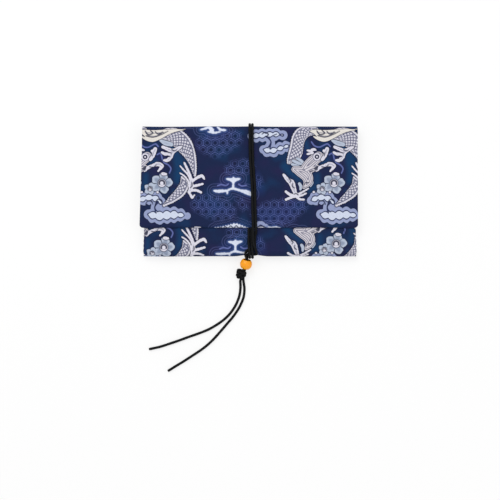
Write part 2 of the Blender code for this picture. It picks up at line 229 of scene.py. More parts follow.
def braidRelief(around, along):
    # two sets of yarns that wind opposite ways and pass over and under each other
    turns = along / tie["pitch"]
    one = np.cos(tie["carriers"] * (around - 2 * np.pi * turns))
    other = np.cos(tie["carriers"] * (around + 2 * np.pi * turns))
    return tie["relief"] * np.maximum(one, other)


def makeStrand(name, route, knot, tail):
    step, count = tie["ringStep"], tie["sides"]
    line = evenPoints(splinePoints(route + knot + tail), step)
    fromKnot = np.linalg.norm(line - np.array(tie["knotCentre"]), axis=1)
    knotted = ease((tie["knotReach"] - fromKnot) / tie["reachFade"])[1:-1, None]
    for _ in range(tie["knotEasing"]):
        line[1:-1] += knotted * 0.25 * (line[:-2] + line[2:] - 2 * line[1:-1])
    line = evenPoints(line, step)
    line[:, 2] = np.maximum(line[:, 2], tie["backRun"])     # the cord lies on the table, not in it
    heading = np.gradient(line, axis=0)
    heading /= np.linalg.norm(heading, axis=1)[:, None]
    side = np.cross(heading[0], (0, 0, 1))
    side /= np.linalg.norm(side)
    around = np.arange(count) * 2 * np.pi / count
    rings = []
    for i, (place, ahead) in enumerate(zip(line, heading)):
        side = side - ahead * (side @ ahead)        # carried along the cord without twist
        side /= np.linalg.norm(side)
        other = np.cross(ahead, side)
        fromEnd = min(i, len(line) - 1 - i) * step
        worn = 1 - tie["wornShare"] * max(0.0, 1 - fromEnd / tie["wornLength"])
        size = tie["diameter"] / 2 * worn + braidRelief(around, i * step) - tie["relief"] * 0.3
        rings.append(place + np.outer(size * np.cos(around), side) + np.outer(size * np.sin(around), other))
    domes = [line[:1] - heading[:1] * tie["endDome"], line[-1:] + heading[-1:] * tie["endDome"]]
    points = np.concatenate(rings + domes)
    top = len(rings) - 1
    faces, wrap = [], []        # wrap holds each corner's side and ring
    for i in range(top):
        for j in range(count):
            a, b = i * count + j, i * count + (j + 1) % count
            faces.append((a, b, b + count, a + count))
            wrap += [(j, i), (j + 1, i), (j + 1, i + 1), (j, i + 1)]
    for j in range(count):
        after = (j + 1) % count
        faces += [(len(points) - 2, after, j), (len(points) - 1, top * count + j, top * count + after)]
        wrap += [(j, 0), (j + 1, 0), (j, 0), (j, top), (j, top), (j + 1, top)]
    mesh = bpy.data.meshes.new(name)
    mesh.from_pydata([tuple(p) for p in points * mm], [], faces)
    mesh.shade_smooth()
    braidMap = mesh.uv_layers.new(name="braidMap")
    braidMap.data.foreach_set("uv", (np.array(wrap) * (1 / count, step * mm)).astype(np.float32).ravel())
    return meshObject(name, mesh), line


# Cord of spun polyester yarn, round-braided: matt black with a soft lustre, and painted shade in the grooves
# between the yarns.
def braidedPolyester():
    material, tree, shader = newMaterial("braidedPolyester")
    uv = addNode(tree, "ShaderNodeUVMap", uv_map="braidMap")
    split = addNode(tree, "ShaderNodeSeparateXYZ", {0: uv})
    turns = addNode(tree, "ShaderNodeMath", {0: split.outputs[1], 1: 1000 / tie["pitch"]},
                    operation="MULTIPLY")
    ridges = []
    for operation in ("ADD", "SUBTRACT"):
        slant = addNode(tree, "ShaderNodeMath", {0: split, 1: turns}, operation=operation)
        angle = addNode(tree, "ShaderNodeMath", {0: slant, 1: 2 * math.pi * tie["carriers"]},
                        operation="MULTIPLY")
        ridges.append(addNode(tree, "ShaderNodeMath", {0: angle}, operation="COSINE"))
    yarns = addNode(tree, "ShaderNodeMath", {0: ridges[0], 1: ridges[1]}, operation="MAXIMUM")
    place = addNode(tree, "ShaderNodeTexCoord")
    fibres = addNode(tree, "ShaderNodeTexNoise", {"Vector": place.outputs["Object"], "Scale": 5200.0,
                                                  "Detail": 3.0})       # fibres about 0.2 mm apart
    # the yarns' crowns are lighter and the grooves between them darker: painted shade, times a random fibre
    # tone
    shade = addNode(tree, "ShaderNodeMapRange", {0: yarns, 1: -0.4, 2: 1.0, 3: 0.0, 4: 1.0})
    soft = addNode(tree, "ShaderNodeMath", {0: shade, 1: fibres}, operation="MULTIPLY")
    # base colour carries the painted shade of the braid's grooves
    tint = addNode(tree, "ShaderNodeMix", {0: soft, 6: colour("#040506"), 7: colour("#141519")},
                   data_type="RGBA")
    bump = addNode(tree, "ShaderNodeBump", {"Height": soft, "Strength": 0.5, "Distance": 0.00012})
    fill(tree, shader, {"Base Color": tint.outputs[2], "Normal": bump,
                        "Roughness": 0.7, "Specular IOR Level": 0.14})
    return material


cordFinish = braidedPolyester()
for name, side, tuck, tail, nodes in (
        ("strandLeft", -1, leftTuck, leftTail, ("cord_left_strand", "cord_left_tail", "stop_knot")),
        ("strandRight", 1, rightTuck, rightTail, ("cord_right_strand", "cord_right_tail", "stop_knot"))):
    route = [(left if side < 0 else right, y, z) for left, right, y, z in roundPouch] + tuck
    strand, line = makeStrand(name, route, knotTurns(side), tail)
    strand.data.materials.append(cordFinish)
    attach(strand, "pouch")
    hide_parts(*nodes)


# Cloth: one strip, folded twice and sewn at the sides

cloth = {
    "depth": 90.2, "wall": 1.4, "pocketWidth": 146.0, "cornerFlare": 0.6,      # mm
    "foldWidth": 148.8, "flapEdgeWidth": 150.4, "flapDrift": 0.8, "flapLength": 70.6,
    "mouthDepth": 17.0, "pocketGap": 4.8, "flapClearance": 0.4,
    "seamRound": 9.0, "sideRelease": 6.0, "flapDroop": 1.2, "droopWidth": 12.0,
    "edgeRound": 2.0, "edgeThin": 0.35, "cornerRound": 2.2,
    "tiePlace": 1.6, "cordPress": 0.7, "foldPress": 1.2, "pressWidth": 13.0, "channelLift": 2.15,
    "column": 0.62,             # between columns, where the print needs its fine lines
    "fineRow": 0.6, "coarseRow": 1.5,
    "fineFrom": -24.0,          # the pocket shows below this, and its rows are fine there
    "bottomTurns": 13, "topTurns": 17, "edgeTurns": 8,      # rows round the folds and the flap's edge
    "behindMouth": 12,          # rows on the back, from the mouth to the top fold
    "seamTurns": 16,            # columns round each side of the pocket
    "wave": 0.14,               # how far the padded cloth rolls up and down
    "waveAcross": 12.5, "waveAlong": 10.5,
    "stillBy": 8.0, "stillFade": 16.0,      # no rolls this near the tie, and how soon they are full
    "pucker": 0.07, "puckerPitch": 4.6, "puckerReach": 3.5,
    "liningColumns": 3, "liningRows": 4, "liningSewnRows": 3,       # the lining keeps one in so many
    "liningTurns": (1, 4, 6, 8, 11),        # and these of the rows round the bottom fold
}
backZ = cloth["wall"]
frontZ = backZ + cloth["pocketGap"]
seamZ = (backZ + frontZ) / 2
flapZ = frontZ + cloth["wall"] + cloth["flapClearance"]
bottomReach = cloth["pocketGap"] / 2
topReach = (flapZ - backZ) / 2
bottomY = -cloth["depth"] / 2 + cloth["wall"] + bottomReach
topY = cloth["depth"] / 2 - cloth["wall"] - topReach
mouthY = cloth["depth"] / 2 - cloth["mouthDepth"]
edgeY = cloth["depth"] / 2 - cloth["flapLength"]
seamHalf = cloth["pocketWidth"] / 2 - cloth["wall"]


def tieBump(x):
    offset = np.minimum(np.abs(x - cloth["tiePlace"]) / cloth["pressWidth"], 1.0)
    return 0.5 + 0.5 * np.cos(np.pi * offset)


def seamClosing(share):
    into = (np.abs(share) * seamHalf - (seamHalf - cloth["seamRound"])) / cloth["seamRound"]
    return np.sqrt(np.maximum(1 - np.maximum(into, 0.0) ** 2, 0.0))


def backHeight(x, share, released):
    closed = 1 - seamClosing(share)
    return backZ + (seamZ - backZ) * closed * (1 - released) + cloth["channelLift"] * tieBump(x)


def frontHeight(x, share):
    return seamZ + (frontZ - seamZ) * seamClosing(share) - cloth["cordPress"] * tieBump(x)


def flapHeight(x, half, centre, settled):
    droop = cloth["flapDroop"] * ease((np.abs(x - centre) - half + cloth["droopWidth"]) / cloth["droopWidth"])
    return flapZ - (droop + cloth["cordPress"] * tieBump(x)) * settled


def halfWidth(y):
    waist = (bottomY + mouthY) / 2
    if y <= mouthY:
        low = max((waist - y) / (waist - bottomY), 0.0)
        return seamHalf + cloth["cornerFlare"] * low ** 2
    return seamHalf + (cloth["foldWidth"] / 2 - seamHalf) * float(ease((y - mouthY) / (topY - mouthY)))


def columnShares():
    # even columns, closer where the pocket rounds into its side seams
    inner = seamHalf - cloth["seamRound"]
    middle = steps(-inner, inner, int(2 * inner / cloth["column"]))
    quarter = steps(0, math.pi / 2, cloth["seamTurns"])
    rounding = [inner + cloth["seamRound"] * math.sin(a) for a in quarter[1:]]
    return np.array([-r for r in reversed(rounding)] + middle + rounding) / seamHalf


def stripRows(shares):
    # the lining side, from the mouth round both folds to the flap's edge, as rows of points;
    # each row also has its share of the wall, its place down the seam where it is sewn, and its fold turn
    centre, fineFrom = cloth["flapDrift"], cloth["fineFrom"]
    pocketYs = steps(mouthY, fineFrom, int((mouthY - fineFrom) / cloth["coarseRow"]))
    pocketYs += steps(fineFrom, bottomY, int((fineFrom - bottomY) / cloth["fineRow"]))[1:]
    rows = []

    def add(y, half, height, middle=centre, wall=1.0, sewn=-1, turn=0.0):
        x = middle + shares * half
        ys = y(x) if callable(y) else np.full(len(shares), float(y))
        rows.append({"points": np.stack([x, ys, height(x)], axis=1), "wall": wall, "sewn": sewn,
                     "turn": turn})

    for k, y in enumerate(pocketYs):
        add(y, halfWidth(y), lambda x: frontHeight(x, shares), sewn=k)
    for k, angle in enumerate(steps(0, math.pi, cloth["bottomTurns"] + 1)[1:-1]):
        def foldY(x):
            return bottomY - (bottomReach - cloth["foldPress"] * tieBump(x)) * math.sin(angle)

        def foldZ(x):
            low, high = backHeight(x, shares, 0.0), frontHeight(x, shares)
            return (low + high) / 2 + (high - low) / 2 * math.cos(angle)

        add(foldY, halfWidth(bottomY), foldZ, turn=math.sin(angle),
            sewn=len(pocketYs) + min(k, cloth["bottomTurns"] - 1 - k))
    backRows = list(enumerate(pocketYs))[::-1]
    backRows += [(-1, y) for y in steps(mouthY, topY, cloth["behindMouth"])[1:]]        # not sewn there
    for k, y in backRows:
        released = float(ease((y - mouthY) / cloth["sideRelease"]))
        add(y, halfWidth(y), lambda x: backHeight(x, shares, released), sewn=k)
    topHalf = halfWidth(topY)
    for angle in steps(0, math.pi, cloth["topTurns"] + 1)[1:-1]:
        def turnZ(x):
            low, high = backHeight(x, shares, 1.0), flapHeight(x, topHalf, centre, 0.0)
            return (low + high) / 2 - (high - low) / 2 * math.cos(angle)

        add(topY + topReach * math.sin(angle), topHalf, turnZ)
    roundFrom = edgeY + cloth["edgeRound"]
    flapYs = steps(topY, roundFrom, int((topY - roundFrom) / cloth["fineRow"]))
    flapYs += [roundFrom - cloth["edgeRound"] * math.sin(a)
               for a in steps(0, math.pi / 2, cloth["edgeTurns"])[1:]]
    for y in flapYs:
        along = (topY - y) / (topY - edgeY)
        half = (cloth["foldWidth"] + (cloth["flapEdgeWidth"] - cloth["foldWidth"]) * along) / 2
        into = min(max(cloth["cornerRound"] - (y - edgeY), 0.0), cloth["cornerRound"])
        half -= cloth["cornerRound"] - math.sqrt(cloth["cornerRound"] ** 2 - into ** 2)
        settled = float(ease((topY - y) / (topY - mouthY)))
        drift = cloth["flapDrift"] * (1 - along)
        rounded = max(1 - (y - edgeY) / cloth["edgeRound"], 0.0)
        wall = math.sqrt(max(1 - (1 - cloth["edgeThin"] ** 2) * rounded ** 2, 0.0))
        add(y, half, lambda x: flapHeight(x, half, drift, settled), middle=drift, wall=wall)
    return rows, len(pocketYs)


def outwardNormals(points, rows):
    down = np.gradient(points, axis=0)
    across = np.gradient(points, axis=1)
    normals = np.cross(down, across)
    normals /= np.maximum(np.linalg.norm(normals, axis=2), 1e-9)[:, :, None]
    for i, row in enumerate(rows):
        if row["sewn"] >= 0:        # both layers meet at the seam and share one outline there
            lean = math.atan2(row["turn"], 1.0)
            for j, sign in ((0, -1), (-1, 1)):
                normals[i, j] = (sign * math.cos(lean), -math.sin(lean), 0.0)
    return normals


def padding(points, rows, normals):
    # slow rolls of the padded cloth, still at the tie, and small puckers along the side seams
    x, y = points[:, :, 0], points[:, :, 1]
    free = ease((np.abs(x - cloth["tiePlace"]) - cloth["stillBy"]) / cloth["stillFade"])
    rolls = (np.sin(x / cloth["waveAcross"] + 0.5 * np.sin(y / 15.0))
             * np.sin(y / cloth["waveAlong"] + 0.9 + x / 60.0))
    fromSeam = seamHalf - np.abs(x - cloth["flapDrift"])
    roll = cloth["wave"] * rolls * free * ease(fromSeam / 10.0)
    puckers = np.sin(y * 2 * np.pi / cloth["puckerPitch"] + 1.3 * np.sin(y / 9.0))
    puckers = puckers * np.exp(-np.maximum(fromSeam, 0) / cloth["puckerReach"]) * ease(fromSeam / 2.5)
    sewn = np.array([row["sewn"] >= 0 for row in rows])[:, None]
    under = normals[:, :, 2] < -0.5     # the back lies on the table, so its rolls only lift it
    lifted = np.where(under, np.minimum(roll, 0.0) - 0.02, roll)
    return lifted + np.where(sewn & ~under, cloth["pucker"] * puckers, 0.0)


shares = columnShares()
rows, pocketCount = stripRows(shares)
liningSide = np.array([row["points"] for row in rows])
normals = outwardNormals(liningSide, rows)
liningSide += normals * padding(liningSide, rows, normals)[:, :, None]
faceSide = liningSide + normals * (np.array([row["wall"] for row in rows])[:, None, None] * cloth["wall"])
rowCount, columnCount = liningSide.shape[:2]
print("cloth grid", rowCount, "x", columnCount)


# The print: traditional cloud and dragon scrolls on indigo, drawn here as strokes.
# It is laid out on a grid of this size, and repeats across and along the strip.
drawing = {
    "unit": 0.6862,                     # mm
    "origin": (1.25, 0.6),              # from the flap's own middle, in units
    "repeat": (172.7, 214.6),
    "halfDrop": (86.4, 107.3),          # where the second row of motifs sits
    "eye": (66.4, 34.6),
    "reach": 11.0,                      # how far round a stroke its distance is measured
    "shift": 1.0, "skew": 0.0215,       # the strip was cut a little off the print's own lines,
    "shiftOver": 60.0,                  # which shows more and more over these mm past the top fold
}

# Each stroke: its line, its half widths, and for clouds the length and height of their scallops.
# Those in a list named low are printed in the first row only.
clouds = [
    ([(61, -9.5), (67, -7), (74, -6.6), (80, -8.6), (83, -12)], [5.4, 6.6, 6.6, 6.2, 4.6], (7.0, 1.9)),
    ([(80, -11), (77, -16.5), (80, -23)], [4.6, 4.0, 5.2], (0, 0)),
    ([(71, -23.4), (80, -25), (90, -24.2), (100, -23.8), (109.6, -25)], [6.2, 7.8, 7.9, 7.0, 3.4],
     (7.4, 2.1)),
    ([(1, 55.5), (9, 56.5), (16, 57), (24, 57.5), (31.6, 56.5)], [5.6, 6.6, 6.0, 6.2, 4.4], (7.0, 1.8)),
    ([(15, 56), (20, 50), (18, 43)], [4.6, 4.0, 5.0], (0, 0)),
    ([(12.6, 42), (20, 40.6), (27, 42.4), (34, 44.6), (40, 46.6)], [5.4, 6.4, 5.8, 5.6, 3.6], (7.0, 1.9)),
]
lowClouds = [
    ([(9.5, -34), (13, -34.5), (19, -37)], [4.2, 3.2, 1.4], (5.0, 0.8)),
]
bodies = [
    ([(-91, 57), (-80, 57.5), (-72, 52), (-65.5, 44), (-60.5, 35), (-57.4, 25), (-55.8, 15)],
     [4.6, 7.4, 8.6, 7.8, 5.2, 3.2, 1.0]),
    ([(-69, 14), (-66.5, 6.5), (-70, -0.5), (-77, -7), (-86.5, -14.5)], [0.8, 4.5, 5.0, 4.0, 1.2]),
    ([(38, 29), (41, 32), (44.5, 38), (46, 45), (48, 54), (54, 60.5), (63, 61.5)],
     [1.6, 4.6, 6.8, 6.6, 6.8, 6.6, 4.6]),
]
pale = [
    # a foot with three toes
    ([(-78, 40), (-81.2, 41.3), (-88.7, 44.5)], [1.9, 1.9, 1.4]),
    ([(-81.2, 37.8), (-86.3, 37.4), (-89.5, 39)], [1.5, 1.5, 1.1]),
    ([(-77, 41), (-79.2, 39), (-80.4, 34.6), (-83.7, 31), (-87, 31)], [2.2, 2.2, 1.9, 1.7, 1.2]),
    ([(-78, 40), (-72.5, 43.5), (-69.5, 45)], [1.8, 1.7, 0.8]),
    # claws that reach right, and the leg behind them
    ([(-60, 14), (-59.5, 6), (-61, -1)], [1.2, 2.0, 1.5]),
    ([(-58.5, 10), (-53, 13.9), (-48.6, 15.2), (-46.4, 12)], [1.3, 1.4, 1.5, 0.8]),
    ([(-59, 4.6), (-54, 5.6), (-48.1, 7.2)], [1.3, 1.3, 1.0]),
    ([(-60, 0.8), (-54, 0.7), (-49.6, -1.3)], [1.4, 1.3, 1.1]),
    ([(-62.5, -0.6), (-60, -3.8), (-58.5, -6.5), (-56, -4)], [0.9, 1.1, 1.2, 0.6]),
    # trailing hair
    ([(-66.8, 28.7), (-62.9, 20.8), (-59.6, 14.5)], [0.9, 1.2, 0.7]),
    ([(-71.2, 25.7), (-67.8, 21.8), (-62.9, 16.4), (-60.4, 10.5)], [0.6, 0.8, 0.8, 0.6]),
    ([(-71.2, 18.3), (-66.8, 15.4), (-62.9, 10.5), (-61.6, 3.6)], [0.6, 0.8, 0.8, 0.6]),
    # horn, brow, jaw and whiskers of the head
    ([(71.5, 31.5), (74.5, 36), (76.5, 42.5)], [1.5, 1.8, 2.0]), ([(73.2, 40.6), (75.5, 40)], [1.5, 1.6]),
    ([(56.5, 41), (60, 40.6), (62.5, 42), (65.2, 41.4)], [0.9, 1.2, 1.4, 0.9]),
    ([(56.6, 37.2), (62, 38.6)], [1.0, 1.2]),
    ([(66, 20.5), (69, 23.5), (74, 25.6), (79.4, 27.2), (83.6, 25.2), (79.8, 20)],
     [1.2, 1.6, 1.5, 2.1, 1.8, 0.8]),
    # the arm, the leg and five claws below the head
    ([(33, 16.6), (37, 11.5), (41, 8.5), (43, 3.4), (45.3, -3.3)], [1.2, 1.9, 2.9, 2.5, 1.6]),
    ([(45, -4.6), (40, -3.8), (35.6, -0.6)], [1.4, 1.4, 1.2]),
    ([(45.5, -5.2), (40.5, -6.6), (35.8, -8.6)], [1.1, 1.2, 1.2]),
    ([(46.5, -4), (52, -1), (58, 2.6)], [1.1, 0.9, 0.8]),
    ([(47.5, -5), (51, -4.6), (56, -2.2)], [1.0, 0.9, 0.8]),
    ([(46, -5.5), (49, -8), (53.8, -8.6)], [1.2, 1.1, 0.9]),
    # a leaf and small buds by the flowers
    ([(-88.5, 17.4), (-85, 17)], [1.6, 1.3]), ([(63.4, -1), (63.6, -1)], [1.3, 1.3]),
    ([(79.5, -1.2), (79.7, -1.2)], [1.3, 1.3]),
]
lowPale = [
    ([(-55, -36.8), (-50, -37)], [1.0, 0.9]), ([(8, -37.4), (12.5, -37)], [0.8, 1.0]),
]
lowInk = [
    # crests of the low waves
    ([(-31.5, -38.6), (-29.6, -36.6), (-27.6, -38.4)], 0.5),
    ([(-27, -38.6), (-24.8, -35.8), (-22.4, -38.2)], 0.5),
    ([(-22, -38.4), (-19.4, -34.9), (-16.8, -38)], 0.5),
    ([(-16.4, -38.2), (-13.8, -34.7), (-11.4, -38)], 0.5),
    ([(-11, -38.4), (-9, -36), (-7, -38.2)], 0.5),
    ([(6.4, -38), (9.6, -34.8), (13.6, -35.6), (17, -38.4)], 0.5),
]
lowMists = [
    # low waves at the flap's edge
    ([(-36, -38.2), (-28, -37.6), (-21, -36.4), (-15, -35.2), (-9, -36.2), (-3, -38)],
     [0.9, 1.7, 2.1, 2.5, 1.9, 0.9]),
]
mists = [
    # a far cloud at the top and a mushroom-headed cloud by the middle
    ([(-51, 62.2), (-47, 63.4), (-43.5, 65.5)], [0.9, 1.4, 2.0]), ([(-42, 66), (-39.6, 61.6)], [2.0, 2.2]),
    ([(-26, 61.6), (-31, 62.4), (-34, 66)], [1.2, 1.4, 1.0]),
    ([(-43.6, 60), (-37, 58.8), (-31, 60)], [0.7, 1.1, 0.7]),
    ([(-24, 12.3), (-20.5, 11.6), (-17.4, 11), (-13.6, 11.8), (-10.8, 12.4)], [0.9, 1.5, 2.2, 1.5, 0.9]),
    ([(-17.2, 13.4), (-17.2, 9)], [1.2, 1.5]), ([(-17.2, 10), (-17.4, 3)], [1.0, 1.1]),
    ([(-36.5, 0.4), (-33, -0.2), (-29.5, 0), (-23.5, 0.5), (-19, 2.4), (-15, 2), (-10, 0.5), (-4, -1),
      (0.5, -3)], [1.0, 1.5, 1.6, 1.0, 1.1, 1.2, 1.2, 2.2, 1.9]), ([(-23, 0), (-23.2, -2.6)], [1.0, 0.7]),
    ([(18, -36.4), (22, -36.8), (26, -36.2), (30, -37.4)], [0.8, 0.8, 0.8, 0.6]),
]
fins = [
    ([(42.5, 30.5), (47, 28.6), (51, 27)], [1.3, 1.5, 1.0]),
    ([(46, 33), (50, 31), (54, 27.5)], [1.0, 1.4, 1.0]),
    ([(41.5, 27), (46, 25.4), (50, 24)], [1.2, 1.4, 1.0]), ([(59, 11), (61.6, 9), (60, 5)], [1.2, 1.6, 1.0]),
    ([(-91, 51), (-86, 48.5), (-80, 47)], [1.2, 2.4, 2.0]),
    ([(49, 7.5), (50.5, 4.5), (50, 1.5)], [1.4, 1.6, 1.0]),
]
manes = [
    ([(52.5, 21.5), (57.5, 26), (63, 31), (68, 34.6)], [3.2, 5.0, 5.4, 5.0]),
    ([(57, 20.2), (61.5, 22), (66.5, 24.4)], [2.8, 3.0, 2.2]),
    ([(44, 22), (50, 19.5), (56.5, 15), (57.5, 9.5), (53.5, 3.5)], [3.0, 5.0, 5.6, 4.2, 1.4]),
]
cream = [
    ([(59.5, 60.5), (64, 60), (70, 57.6), (76, 57), (82, 58.6), (89, 60.4), (97, 61.7), (104, 62)],
     [0.6, 2.2, 4.2, 4.6, 3.4, 2.1, 1.3, 0.6]),
    ([(63, 55), (67.1, 53), (73.5, 51.4), (80.3, 53.6), (88.2, 57.8), (95.1, 60.4), (106.4, 62.8)],
     [0.6, 1.3, 1.6, 1.5, 1.3, 0.9, 0.5]),
]
ink = [
    ([(66, 61), (69, 57), (74, 58.5), (71, 61.5)], 0.59), ([(76, 60.5), (79, 57.5), (84, 60)], 0.54),
    ([(67, 56), (74, 54.4), (81, 56.4), (89, 60.6)], 0.54),
    ([(64, 22.6), (66.8, 24.6), (66.2, 21.4)], 0.84), ([(59, 19.6), (62.5, 20.6)], 0.52),
    ([(84.5, -10.5), (83, -8.5), (81, -8), (78.8, -9.5), (78, -12.5), (77, -16)], 0.59),
    ([(68, -13.5), (69, -10.6), (71.6, -9.6), (74.2, -10.8), (75, -13.5)], 0.59),
    ([(11, 57.5), (14, 59.3), (17.5, 57), (15, 55)], 0.56), ([(23, 56.5), (26, 57.6)], 0.52),
    ([(74.4, 39), (73.4, 35.4)], 0.54), ([(38.4, 12.6), (40.6, 10.4), (39.4, 8.6)], 0.52),
    ([(42.2, 7.6), (42, 4.8), (44, 3)], 0.52), ([(43.4, -3.2), (46.2, -2.6), (48, -4)], 0.52),
    ([(71, 24.6), (74.6, 24), (78, 26.4)], 0.52), ([(53.5, 6), (55.5, 8.6), (58.5, 8.4)], 0.52),
    ([(-79.6, 42), (-76.8, 40.4), (-74.6, 41.6)], 0.52), ([(-60.4, 3.4), (-58.6, 5), (-58.8, 8.4)], 0.52),
    ([(-84, 39.4), (-80, 38.4)], 0.59), ([(-84.6, 34.6), (-81.6, 35)], 0.74),
]
threads = [
    [(60.7, 49.6), (63.8, 45.7), (68.6, 44.3), (73.7, 46.5), (76.9, 47.6), (79.6, 44.9)],
    [(78.5, 36.6), (82, 38.2), (83.6, 33), (85.6, 28.7), (90, 26.3), (92.7, 22.4), (91.1, 18)],
    [(-33, 5.4), (-29, 6.6), (-24.6, 5.6), (-22, 7.4)], [(-12, 7), (-9, 5.2), (-4, 6)],
]
tealPatches = [
    ([(98, 37), (100, 30), (101, 20), (99, 10)], [4.5, 5.5, 4.5, 3.5]), ([(67.5, 16), (67, 8)], [2.8, 3.4]),
    ([(87.7, 47), (93.7, 43)], [3.6, 3.6]), ([(55, 49), (57, 43)], [3.0, 3.4]),
    ([(34, 25), (38, 20), (48, 12)], [4.6, 3.6, 3.4]), ([(72, 27.5), (77, 30)], [2.2, 2.6]),
    ([(96, 0), (100, -6)], [2.0, 3.5]),
    ([(60, 2), (66, 4)], [3.0, 3.0]),
]
glowPatches = [
    ([(-44, 57), (-35, 56), (-27, 60)], [6, 7, 5]), ([(-30, 6), (-16, 8), (-4, 2)], [5, 7, 5]),
    ([(14, -24), (32, -22), (48, -15)], [9, 10, 6]), ([(-48, -14), (-34, -17), (-22, -20)], [6, 7, 5]),
    ([(52, 34), (56, 38)], [4, 5]), ([(10, 0), (5, 16)], [5, 5]), ([(77, 32), (82, 34)], [4, 4]),
]
hexagonPatches = [
    ([(-47, 48), (-35, 44), (-18, 53)], [9, 11, 10]), ([(-19, 22), (-4, 25)], [8, 9]),
    ([(-50, -13), (-35, -17), (-22, -20)], [10, 13, 9]), ([(12, -24), (30, -22), (50, -15)], [12, 15, 8]),
    ([(7, 12), (8, 8)], [5, 5]), ([(-12, -8), (-6, -16)], [4, 5]),
]
flowers = [(-89.0, 8.0, 1.0), (-100.8, 2.4, 0.56)]


def stripPlaces():
    # where each point of the grid lies on the strip: its row's distance from the flap's edge,
    # counted upwards as on the flap, and its distance across
    column = int(columnCount * 0.78)        # well clear of the tie
    jumps = np.linalg.norm(np.diff(faceSide[:, column], axis=0), axis=1)
    along = np.concatenate([[0], np.cumsum(jumps)])
    fromEdge = faceSide[-1, column, 1] + along[-1] - along
    fromEdge = np.repeat(fromEdge[:, None], columnCount, axis=1)
    across = faceSide[:, :, 0] - np.array([row["points"][:, 0].mean() for row in rows])[:, None]
    far = ease((fromEdge - topY) / drawing["shiftOver"])
    return across - drawing["shift"] * far, fromEdge - drawing["skew"] * across * far


def wrapped(values, centre, repeat):
    return (values - centre + repeat / 2) % repeat - repeat / 2


def smoothStroke(line, halves):
    if len(line) < 3:
        return np.array(line, float), np.array(halves, float)
    both = splinePoints([(*p, h) for p, h in zip(line, halves)], 4)
    return both[:, :2], both[:, 2]


def strokeField(u, v, line, halves, wave, offset):
    # the points near one stroke, their signed distance to it, negative inside, and for scales
    # the way along it and the distance in from its left edge
    points, widths = smoothStroke(line, halves)
    points = points + np.array(offset)
    middle = (points.max(0) + points.min(0)) / 2
    x, y = wrapped(u, middle[0], drawing["repeat"][0]), wrapped(v, middle[1], drawing["repeat"][1])
    size = (points.max(0) - points.min(0)) / 2 + max(widths) + drawing["reach"]
    near = np.nonzero((np.abs(x) < size[0]) & (np.abs(y) < size[1]))
    x, y = x[near], y[near]
    best, nearest = np.full(len(x), 99.0), np.full(len(x), 99.0)
    along, inward = np.zeros(len(x)), np.zeros(len(x))
    done = 0.0
    for a, b, wa, wb in zip(points - middle, points[1:] - middle, widths, widths[1:]):
        run = b - a
        length = max(float(np.hypot(*run)), 1e-6)
        t = np.clip(((x - a[0]) * run[0] + (y - a[1]) * run[1]) / length ** 2, 0, 1)
        dx, dy = x - a[0] - t * run[0], y - a[1] - t * run[1]
        half = wa + (wb - wa) * t
        here = done + t * length
        if wave[0]:
            half = half + wave[1] * (np.abs(np.sin(np.pi * here / wave[0])) - 0.6)
        out = np.hypot(dx, dy)
        distance = out - half
        closer = out < nearest if wave[0] else distance < best      # scallops stay deep this way
        best = np.where(closer, distance, best)
        nearest = np.minimum(out, nearest)
        left = (run[0] * dy - run[1] * dx) / length
        along = np.where(closer, here, along)
        inward = np.where(closer, half - left, inward)
        done += length
    return near, best, along, inward


def flowerStrokes():
    petals, hearts, folds = [], [], []
    for x, y, size in flowers:
        def at(turn, out, aside=0.0):
            # a point of the flower, by its angle and how far it lies out and to the left
            cos, sin = math.cos(turn), math.sin(turn)
            return (x + cos * size * out - sin * size * aside, y + sin * size * out + cos * size * aside)

        petals.append(([(x, y), (x + 0.1, y)], [7.6 * size] * 2))
        hearts.append(([(x, y), (x + 0.1, y)], [3.9 * size] * 2))
        folds.append(([at(turn, 2.7) for turn in np.radians(range(-20, 205, 32))], 0.75 * size + 0.1))
        for k in range(5):
            turn = math.radians(72 * k + 3)
            petals.append(([at(turn, out) for out in (3.4, 7.2, 10.8)], [5.2 * size, 3.6 * size, 0.4]))
            petals.append(([at(turn, out, 2.8) for out in (7.4, 7.8)], [1.7 * size] * 2))
            between = turn + math.radians(36)
            folds.append(([at(between, out) for out in (5.4, 8.2)], 0.3 * size + 0.12))
    return petals, hearts, folds


def plain(strokes, wave=(0, 0)):
    return [(line, halves, wave) for line, halves in strokes]


def evenly(strokes):
    return [(line, [half] * len(line), (0, 0)) for line, half in strokes]


